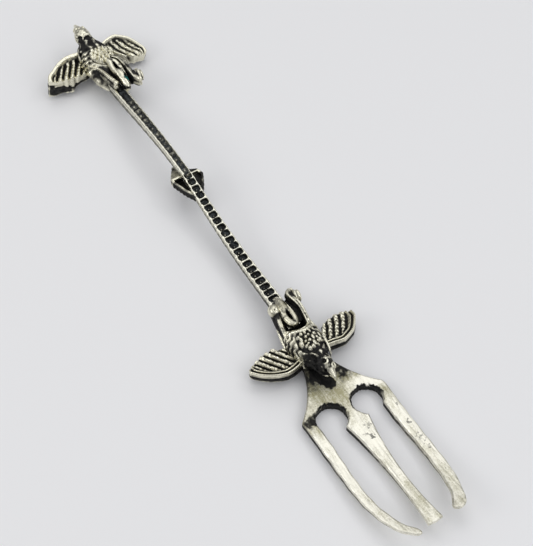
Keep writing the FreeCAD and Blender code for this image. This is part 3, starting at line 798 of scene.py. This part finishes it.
LOWER_BODY = dict(
    beads_at=(0.95, 0.1, 1.75), hollow=True,
    rim=[(-1.2, 2.6, 3.9), (-1.25, 2.0, 4.75), (-0.95, 1.1, 5.4), (-0.75, 0.2, 5.65), (-1.1, -0.7, 5.5),
         (-1.65, -1.5, 5.0), (-1.8, -2.3, 4.1)],
    eyes=[((5.25, -0.05, 5.5), (-0.05, -0.45, 0.85), 0.42), ((6.35, 0.85, 5.1), (0.35, 0.6, 0.7), 0.3)],
    sockets=[((6.2, -0.45, 4.75), (0.45, 0.25, 0.3)), ((4.1, 0.85, 5.3), (0.7, 0.4, 0.5)),
             ((3.9, -0.9, 5.0), (0.75, 0.35, 0.5)), ((5.4, -1.15, 4.5), (0.8, 0.25, 0.25))],
    straps=[([(0.7, 2.7, 4.0), (1.8, 2.5, 4.2), (2.9, 2.3, 4.1), (4.2, 1.8, 3.9)], 0.28),
            ([(2.6, -2.3, 3.0), (1.7, -2.4, 3.6), (0.8, -2.3, 4.1), (0.2, -2.0, 4.6)], 0.26),
            ([(3.2, -2.2, 2.6), (2.6, -2.0, 3.6), (1.9, -1.6, 4.4)], 0.22)])
UPPER_BODY = dict(
    beads_at=(-1.2, -0.6, 2.1), hollow=False,
    rim=None,
    eyes=[((6.35, 0.9, 4.9), (0.2, 0.8, 0.5), 0.3), ((6.2, -0.75, 4.9), (0.2, -0.8, 0.5), 0.3)],
    sockets=[((4.0, 1.2, 5.05), (0.62, 0.5, 0.6)), ((3.35, -0.15, 5.35), (0.55, 0.9, 0.6)),
             ((3.1, -1.2, 4.8), (0.7, 0.5, 0.6))],
    straps=[([(0.4, 2.7, 3.4), (1.6, 2.5, 3.6), (2.6, 2.0, 3.9)], 0.30),
            ([(0.6, -2.6, 3.7), (1.8, -2.2, 4.1), (2.7, -1.5, 4.5)], 0.26)])


def on_beads(points, bx, by, half):
    """1 among the beads on the back, 0 away from them."""
    x, y, z = points.T
    return ramp(1.1 - np.hypot((x - bx) / 2.1, (y - by) / half), 0, 0.3) * ramp(z, 4.0, 4.6)


def body_dark(points, fine, wide):
    x, y, z = points.T
    rough = value_noise(points, 1.0, 41)
    neck = ramp(x, 2.4, 3.2) * ramp(5.0 - x, 0, 0.8)
    # painted shade: the body is darker low down, towards the plate
    under_shade = ramp(2.6 - z, 0, 1.4)
    hollow = ramp(-1.9 - x, 0, 0.5) * ramp(x, -7.0, -6.0) * ramp(5.0 - z, 0, 0.6) \
        * ramp(2.1 - np.abs(y), 0, 0.4)
    crown = np.exp(-(((x - 5.6) / 1.1) ** 2 + ((y - 0.2) / 1.0) ** 2)) * ramp(z, 5.1, 5.5)
    beads = on_beads(points, 0.95, 0.1, 1.9)
    # painted shadow on the -y side and underside of the head
    cheek_shadow = ramp(x, 3.4, 4.2) * ramp(7.2 - x, 0, 0.6) \
        * (ramp(-0.1 - y, 0, 0.6) + 0.8 * ramp(4.6 - z, 0, 0.8))
    grit = value_noise(points, 0.34, 44, 2)
    return 0.80 - 2.3 * fine - 0.7 * wide + 0.35 * grit + 0.70 * rough + 0.66 * neck + 0.34 * under_shade \
        + 0.62 * cheek_shadow - 0.2 * beads + hollow - 0.05 * crown + 0.22 * ramp(x, 4.0, 4.8)


def upper_dark(points, fine, wide):
    x, y, z = points.T
    rough = value_noise(points, 1.0, 42)
    neck = ramp(x, 0.6, 1.6) * ramp(4.6 - x, 0, 0.8)
    # painted shade: the body is darker low down, towards the plate
    under_shade = ramp(2.2 - z, 0, 1.4)
    crown = np.exp(-(((x - 5.2) / 1.2) ** 2 + (y / 1.2) ** 2)) * ramp(z, 5.0, 5.4)
    flank = ramp(np.abs(y + 0.3), 1.6, 2.2) * ramp(0.8 - x, 0, 1) * ramp(x, -3.6, -2.6)
    beads = on_beads(points, -1.2, -0.6, 2.2)
    haunch = ramp(-2.8 - x, 0, 0.6) * ramp(z, 1.7, 2.1)
    return 0.58 - 2.2 * fine - 0.8 * wide + 0.80 * neck + 0.2 * under_shade + 0.5 * rough - 0.5 * crown \
        - 0.2 * flank - 0.95 * beads + 0.36 * haunch + 0.12 * ramp(x, 4.0, 4.8)


def cast_polish(points, fine, wide, more=0.0):
    return 0.42 + 2.4 * fine + 0.7 * wide + 0.45 * value_noise(points, 1.1, 43) + more


def dull_polish(*where):
    return cast_polish(*where, more=-0.35)


def bright_polish(*where):
    return cast_polish(*where, more=0.30)


def upper_polish(points, *openness):
    return cast_polish(points, *openness, more=0.6 * on_beads(points, -1.2, -0.6, 2.2))


# plans of the wings, x forwards and y outwards from the middle of the bird
WINGS = {
    ("lower", 1): [(-0.4, 1.6), (-0.6, 3.2), (-2.3, 4.7), (-2.8, 6.9, 20), (-2.2, 8.85),
                   (-1.7, 9.47, 1.5), (-0.2, 9.25, 9), (1.85, 7.6, 12), (2.75, 5.5, 5), (2.4, 3.9),
                   (2.0, 1.6)],
    ("lower", -1): [(-0.9, 1.6), (-1.3, 2.8), (-2.5, 4.6), (-2.3, 6.3), (-1.5, 8.3), (-0.7, 9.5, 1.5),
                    (0.0, 9.72, 7.2), (3.5, 5.2, 7), (2.5, 1.6)],
    ("upper", 1): [(-1.2, 1.6), (-1.6, 2.8), (-1.7, 4.2), (-1.75, 6.1), (-1.35, 8.8),
                   (-1.05, 9.68, 2), (0.75, 8.3, 9), (2.6, 4.9, 12), (2.6, 1.6)],
    ("upper", -1): [(1.1, 1.6), (0.5, 3.8), (-0.6, 5.0), (-1.8, 6.5), (-2.1, 8.4), (-1.3, 9.3, 1.5),
                    (0.0, 9.0, 9), (2.3, 7.5, 12), (3.6, 5.4, 5), (3.3, 3.4), (2.6, 1.6)],
}
WING_SLOPE = 0.28
# for each wing: width of its rim, depth of the feathers, black in the gaps, bare metal on the ribs
FEATHERS = {("lower", 1): (1.0, 0.44, -0.04, 0.10), ("lower", -1): (1.0, 0.62, 0.42, 0.14),
            ("upper", 1): (0.85, 0.60, -0.22, 0.70), ("upper", -1): (0.62, 0.36, -0.10, 0.28)}
DEEP_WING = ("upper", 1)


def lead_distance(which, side, x, far):
    """Distance back from the leading edge of a wing."""
    plan = outline(WINGS[which, side])
    lead = plan[np.argmax(plan[:, 1]):]
    behind = np.vstack([lead, [(-8, 1.6), (-8, lead[0, 1])]])
    return np.maximum(-plan_distance(x, far, behind), 0)


def feather_at(x, far):
    """Feathers run inwards and forwards: 1 on each rib, 0 in the gaps; and the place across it."""
    u = (far - 1.6) * math.cos(0.47) + x * math.sin(0.47) + 0.10 * np.sin(1.3 * x)
    lean = (u / 1.04) % 1.0
    falling = ramp(1.0 - lean, 0.0, 0.50) * 0.95
    return np.where(lean < 0.36, ramp(lean, 0.0, 0.36), falling), lean


def wing_block(which, side):
    deep_wing = (which, side) == DEEP_WING
    block = side_block(side, (-3.8, 4.6), (1.2, 10.2), (-3.4 if deep_wing else -2.0, 2.0), 0.07)
    x, y, z = block.coords()
    far = y * side
    flat = plan_distance(x, far, outline(WINGS[which, side]))
    back = lead_distance(which, side, x, far)
    feather, lean = feather_at(x, far)
    vein = 0.10 * bell(lean - 0.78, 0.07)
    if which == "lower":
        # rim of two strands with a groove between them
        height = 0.46 * bell(back - 0.20, 0.24) + 0.34 * bell(back - 0.86, 0.17) \
            - 0.16 * bell(back - 0.54, 0.14)
    else:
        rim_half, rise = (0.40, 0.46) if side > 0 else (0.29, 0.38)
        height = rise * np.exp(-((back - rim_half) / rim_half) ** 4)
    barbs = (0.17 if (which, side) == ("lower", 1) else 0.10) * np.sin(x * 7.5 + 3 * feather) \
        * np.sin(far * 5.0 + 1.0) * feather
    trail = ramp(1.2 - x, 0.0, 3.0) * (0.34 if which == "lower" else 0.62)
    rim, deep = FEATHERS[which, side][:2]
    inner = ramp(back, rim, rim + 0.35)
    top = 0.75 + (height + inner * (deep * (feather - 1) - 0.04 + vein + trail + barbs))
    scallop = 0.20 * (1 - feather) * ramp(back, 2.0, 3.2)
    # the wall behind the feathers slopes out towards its foot
    foot = 0.42 * (0.9 - z) * ramp(back, 2.2, 4.0)
    wall = flat + scallop - foot * 0.9 + 0.12 * bell(z - 0.05, 0.16) * ramp(2.0 - back, 0, 1) \
        - 0.05 * bell(z + 0.62, 0.2)
    if deep_wing:
        bottom = -0.75 - 2.2 * ramp(far, 3.5, 9.6)
    else:
        bottom = -1.0 if which == "lower" else -0.55
    floor = bottom - z + 0.07 * np.maximum(far - 4.0, 0)
    block.d = smooth_max(smooth_max(wall, (z - top) * 0.8, 0.14), floor, 0.16).astype(np.float32)
    return block


def wing_dark(which, side):
    rim, _, gap_black, rib_clean = FEATHERS[which, side]

    def dark(points, fine, wide):
        x, y, z = points.T
        far = y * side
        rib = ramp(feather_at(x, far)[0], 0.16, 0.55)
        if which == "upper":
            rib = rib * (1 - 0.7 * ramp(x, 0.6, 1.8))
        inner = ramp(lead_distance(which, side, x, far), rim, rim + 0.35) * ramp(z, -0.4, 0.0)
        rough = value_noise(points, 0.9, 51)
        # painted shade on the low wall under the feathers
        wall = ramp(0.45 - z, 0, 0.5) * (1 - 0.75 * inner)
        mask = 0.70 - 2.0 * fine - 0.8 * wide + 0.70 * wall + 0.5 * rough \
            + inner * (gap_black * (1 - rib) - rib_clean * rib)
        if (which, side) == DEEP_WING:
            # worn along its trailing edge, black at its root
            mask = mask - inner * (0.6 * ramp(-0.5 - x, 0, 0.7) - 0.8 * ramp(3.9 - far, 0, 0.8))
        return mask
    return dark


def wing_warp(lowest):
    def warp(points):
        x, y, z = points.T
        lifted = z + 1.80 + WING_SLOPE * x + 0.035 * (np.abs(y) - 5)
        return np.stack([x, y, np.maximum(lifted, lowest)], 1)
    return warp


def roll_block(side, spread):
    """Volute whose broad band turns outwards into a ringed roll."""
    block = side_block(side, (-9.0, -0.4), (0.2, 4.0), (2.4, 6.7), 0.065)
    path = smooth_line([(-1.3, 1.9, 4.1), (-2.7, 1.5 + spread, 5.0), (-4.8, 1.65 + 1.1 * spread, 5.35),
                        (-6.6, 1.65 + 0.4 * spread, 5.55), (-7.7, 1.75, 5.5), (-8.15, 2.3, 5.25)], 18)
    path[:, 1] *= side
    add_tube(block, path, np.linspace(0.36, 0.48, 18), 0.10)
    add_tube(block, path - (0, 0, 0.8), np.linspace(0.4, 0.55, 18), 0.2)
    add_tube(block, path + (0, -0.26 * side, 0.34), np.linspace(0.13, 0.16, 18), 0.05)
    # web between the band and the loop, and the roll
    add_ball(block, (-5.5, 1.35 * side, 4.05), (2.3, 0.85, 0.6), 3, 0.15)
    add_ball(block, (-7.1, 2.62 * side, 4.75), (1.1, 0.98, 1.2), 2, 0.12)
    x, y, z = block.coords()
    near = ramp(y * side, 2.0, 2.4)
    block.d = (block.d + near * 0.07 * np.cos(y * 9.5 + 1.2 * x)).astype(np.float32)
    add_strand(block, [(-7.4, 2.5 * side, 4.0), (-5.4, 2.4 * side, 3.5), (-3.4, 2.3 * side, 3.3)],
               0.55, 0.35, 8, 0.15)
    return block


def band_block(side, end, knob, out=0.0, slim=1.0):
    """Volute that lies close to the tail loop and ends in a low round knob."""
    block = side_block(side, (-9.0, -0.4), (0.2, 3.3), (2.4, 6.2), 0.065)
    path = smooth_line([(-1.4, 2.2, 3.9), (-2.8, 2.1 + out, 4.25), (-4.2, 1.8 + out, 4.5),
                        (-5.4, 1.55 + out, 4.65), (end, 1.4, 4.75)], 14)
    path[:, 1] *= side
    add_tube(block, path, slim * np.linspace(0.32, 0.46, 14), 0.10)
    add_tube(block, path - (0, 0, 0.9), slim * np.linspace(0.5, 0.75, 14), 0.2)
    add_tube(block, path + (0, 0.2 * side, 0.28), np.linspace(0.12, 0.15, 14), 0.05)
    c = np.array((end, 1.5 * side, 4.75))
    add_ball(block, c, (knob * 1.08, knob, knob), 2, 0.15)
    block.carve(ellipsoid(c + (0.4, 0.1 * side, knob), (0.25, 0.12, 0.2)), c - 1.5, c + 1.5, 0.08)
    add_strand(block, [(end, 1.5 * side, 4.0), (-5.2, 1.9 * side, 3.6), (-3.6, 2.2 * side, 3.4)],
               0.5, 0.34, 8, 0.15)
    return block


def band_dark(points, fine, wide):
    """Black along the band, bright on its knob and outer strut."""
    x, y, z = points.T
    rough = value_noise(points, 0.8, 62)
    knob = ramp(-5.5 - x, 0, 0.6) * ramp(z, 3.9, 4.4)
    strut = ramp(4.2 - z, 0, 0.3) * ramp(z, 3.0, 3.4)
    # painted shade: the band darkens down its lower sides
    return 1.10 - 1.7 * fine - 0.6 * wide + 0.30 * ramp(4.4 - z, 0, 0.6) + 0.8 * rough \
        - 0.60 * knob - 0.2 * strut


def upper_band_dark(points, fine, wide):
    x, y, z = points.T
    rough = value_noise(points, 0.8, 63)
    # painted shade: the band darkens down its lower sides
    return 0.72 - 1.8 * fine - 0.6 * wide + 0.50 * ramp(4.4 - z, 0, 0.6) + 0.7 * rough


def volute_dark(points, fine, wide):
    """Black along the band and inside it, brighter on the roll."""
    x, y, z = points.T
    rough = value_noise(points, 0.8, 61)
    inward = ramp(1.45 - np.abs(y), 0, 0.25) * ramp(5.5 - z, 0, 0.3) * ramp(x, -8.2, -7.8)
    band = 0.15 + 0.20 * ramp(x, -6.4, -5.6)
    roll = ramp(np.abs(y), 1.9, 2.3) * ramp(z, 3.6, 4.2)
    # painted shade: the band and roll darken down their lower sides
    return 0.92 - 1.8 * fine - 0.6 * wide + 0.60 * ramp(4.9 - z, 0, 0.8) + 0.7 * rough \
        + 0.9 * inward + band - 0.50 * roll


def loop_block(groove):
    """Slotted loop of the tail and the tongue it ends in."""
    block = Block((-9.2, -1.7, 2.9), (-0.8, 1.7, 6.2), 0.065)
    ring = np.array([(-4.45 + 1.5 * math.cos(t), 0.60 * math.sin(t) - 0.12, 4.95 + 0.05 * math.cos(t))
                     for t in np.linspace(0, 2 * math.pi, 41)])
    add_tube(block, ring, [0.48] * 41, 0.15)
    add_tube(block, ring - (0, 0, 0.6), [0.48] * 41, 0.2)
    tongue = smooth_line([(-8.05, -0.1, 4.6), (-7.0, -0.1, 4.95), (-5.6, -0.12, 5.0)], 8)
    for drop in (0, 0.6):
        add_tube(block, tongue - (0, 0, drop), np.linspace(0.55, 0.72, 8), 0.25)
    # edges rolled up along the band
    for side in (1, -1):
        add_strand(block, [(-7.8, 0.45 * side - 0.1, 5.0), (-6.2, 0.62 * side - 0.1, 5.35),
                           (-4.6, 0.78 * side - 0.12, 5.25), (-3.4, 0.6 * side - 0.12, 5.2)],
                   0.14, 0.2, 9, 0.08)
    block.carve(ellipsoid((-4.4, -0.12, 5.3), (0.85, 0.24, 1.2)), (-6, -1, 4), (-3, 1, 6), 0.06)
    if groove:
        add_tube(block, [(-4.8, -0.25, 5.4), (-6.2, -0.42, 5.35), (-7.35, -0.55, 5.3)],
                 [0.24, 0.28, 0.40], 0.06, carve=True)
    return block


def tail_warp(points):
    x, y, z = points.T
    return np.stack([-2.4 + (x + 2.4) * 1.18, y - 1.15 * ramp(-x, 1.5, 3.5), z], 1)


def loop_dark(points, fine, wide):
    x, y, z = points.T
    rough = value_noise(points, 0.8, 71)
    slot_hole = ramp(1.1 - np.hypot(x + 4.4, (y + 0.12) / 0.34), 0, 0.4)
    grit = value_noise(points, 0.34, 72, 2)
    # painted shade: the loop darkens down its lower sides, only its top stays bright
    return 0.68 - 1.7 * fine - 0.6 * wide + 0.85 * ramp(5.0 - z, 0, 0.35) + 0.8 * slot_hole \
        + 0.9 * rough + 0.4 * grit


def upper_loop_dark(points, fine, wide):
    x, y, z = points.T
    stain = ramp(1.0 - np.hypot(x + 7.2, y + 0.55) / 0.75, 0, 0.4)
    groove = ramp(0.34 - np.abs(y + 0.1 - 0.12 * (x + 3.9)), 0, 0.1) * ramp(x, -8.0, -7.6) \
        * ramp(-4.6 - x, 0, 0.3)
    return loop_dark(points, fine, wide) + 0.7 * stain + 0.5 * groove


def loop_green(points):
    """A small ring of verdigris beside the tongue of the upper tail."""
    x, y, z = points.T
    reach = np.hypot(x + 7.2, y + 0.55) / 0.42
    return ramp(1.25 - reach, 0, 0.3) * ramp(reach, 0.0, 0.4)


def bird_pieces(which):
    """Node, block, patina with painted shade, brightness of the bare metal, and warp of each piece of a
    bird.
    """
    if which == "lower":
        yield "body", body_block(**LOWER_BODY), body_dark, cast_polish, None
        yield "tail_loop", loop_block(False), loop_dark, dull_polish, None
        yield "left_volute", roll_block(1, 0.5), volute_dark, cast_polish, None
        yield "right_volute", band_block(-1, -6.5, 1.0), band_dark, dull_polish, None
    else:
        yield "body", body_block(**UPPER_BODY), upper_dark, upper_polish, None
        yield "tail_loop", loop_block(True), upper_loop_dark, cast_polish, tail_warp
        left = band_block(1, -7.0, 0.40, 0.35, 0.75)
        yield "left_volute", left, upper_band_dark, cast_polish, tail_warp
        yield "right_volute", roll_block(-1, 0.0), volute_dark, cast_polish, tail_warp
    for node, side in (("left_wing", 1), ("right_wing", -1)):
        polish, lowest = cast_polish, 0.05
        if (which, side) == DEEP_WING:
            polish, lowest = bright_polish, -1.2
        elif (which, side) == ("lower", -1):
            polish = dull_polish
        yield node, wing_block(which, side), wing_dark(which, side), polish, wing_warp(lowest)


BIRD_PLACES = {
    "lower": ((-12.2, 0.0, 0.0), (0, 0, 0)),
    "upper": ((-80.4, -0.35, 0.75), (6.5, -2.0, 180)),
}
for which, (where, turned) in BIRD_PLACES.items():
    turn = Euler([math.radians(angle) for angle in turned], "XYZ").to_matrix()
    for node, block, dark, polish, warp in bird_pieces(which):
        green = loop_green if (which, node) == ("upper", "tail_loop") else None
        piece("%s_Bird_%s" % (which.title(), node.title()), block, "%s_bird_%s" % (which, node),
              CAST, dark, move=where, turn=turn, warp=warp, polish=polish, green=green)


# ---- floor, light, camera
FLOOR_DROP = 0.00002
bpy.ops.mesh.primitive_plane_add(size=3.0, location=(0, 0, -FLOOR_DROP))
floor = bpy.context.object
floor.name = "Floor"
pale = bpy.data.materials.new("PaleFloor")
pale.use_nodes = True
feed(pale.node_tree.nodes["Principled BSDF"], Base_Color=(0.86, 0.858, 0.86, 1), Roughness=0.85)
floor.data.materials.append(pale)

world = bpy.data.worlds.new("Studio")
bpy.context.scene.world = world
world.use_nodes = True
sky = world.node_tree.nodes
direction = feed(sky.new("ShaderNodeSeparateXYZ"),
                 Vector=sky.new("ShaderNodeTexCoord").outputs["Generated"])
shades = colour_ramp(direction.outputs["Z"], 0.10, (0.16, 0.16, 0.17, 1),
                     0.90, (0.94, 0.95, 0.98, 1))
feed(sky["Background"], Color=shades, Strength=0.85)


def softbox(name, place, size, power, colour):
    light = bpy.data.lights.new(name, "AREA")
    light.shape, light.size, light.size_y = "RECTANGLE", *size
    light.energy, light.color = power, colour
    obj = new_object(name, light)
    obj.location = place
    obj.rotation_mode = "QUATERNION"
    obj.rotation_quaternion = (LIT_POINT - Vector(place)).to_track_quat("-Z", "Y")


LIT_POINT = Vector((-0.03, 0, 0.003))
softbox("Key", (-0.27, 0.17, 0.42), (0.50, 0.50), 0.38, (1.0, 0.99, 0.96))
softbox("Fill", (0.28, 0.10, 0.26), (0.26, 0.20), 0.22, (0.97, 0.98, 1.0))
softbox("Glint", (0.04, 0.26, 0.36), (0.07, 0.07), 0.09, (1.0, 1.0, 0.98))
softbox("Back", (-0.10, -0.30, 0.20), (0.20, 0.14), 0.20, (1.0, 0.99, 0.97))

camera_data = bpy.data.cameras.new("Camera")
camera = new_object("Camera", camera_data)
camera_data.sensor_width, camera_data.lens = 36.0, 90.82
camera_data.clip_start, camera_data.clip_end = 0.01, 10
# camera axes and place fitted to the outline of the fork
right = Vector((0.52218, 0.85279, -0.00902))
upward = Vector((-0.69719, 0.43294, 0.57138))
toward = Vector((-0.49117, 0.29208, -0.82063))
basis = Matrix((right, upward, -toward)).transposed()
camera.matrix_world = Matrix.Translation((0.079263, -0.061007, 0.179523)) @ basis.to_4x4()
bpy.context.scene.camera = camera
bpy.context.scene.view_settings.view_transform = "Standard"
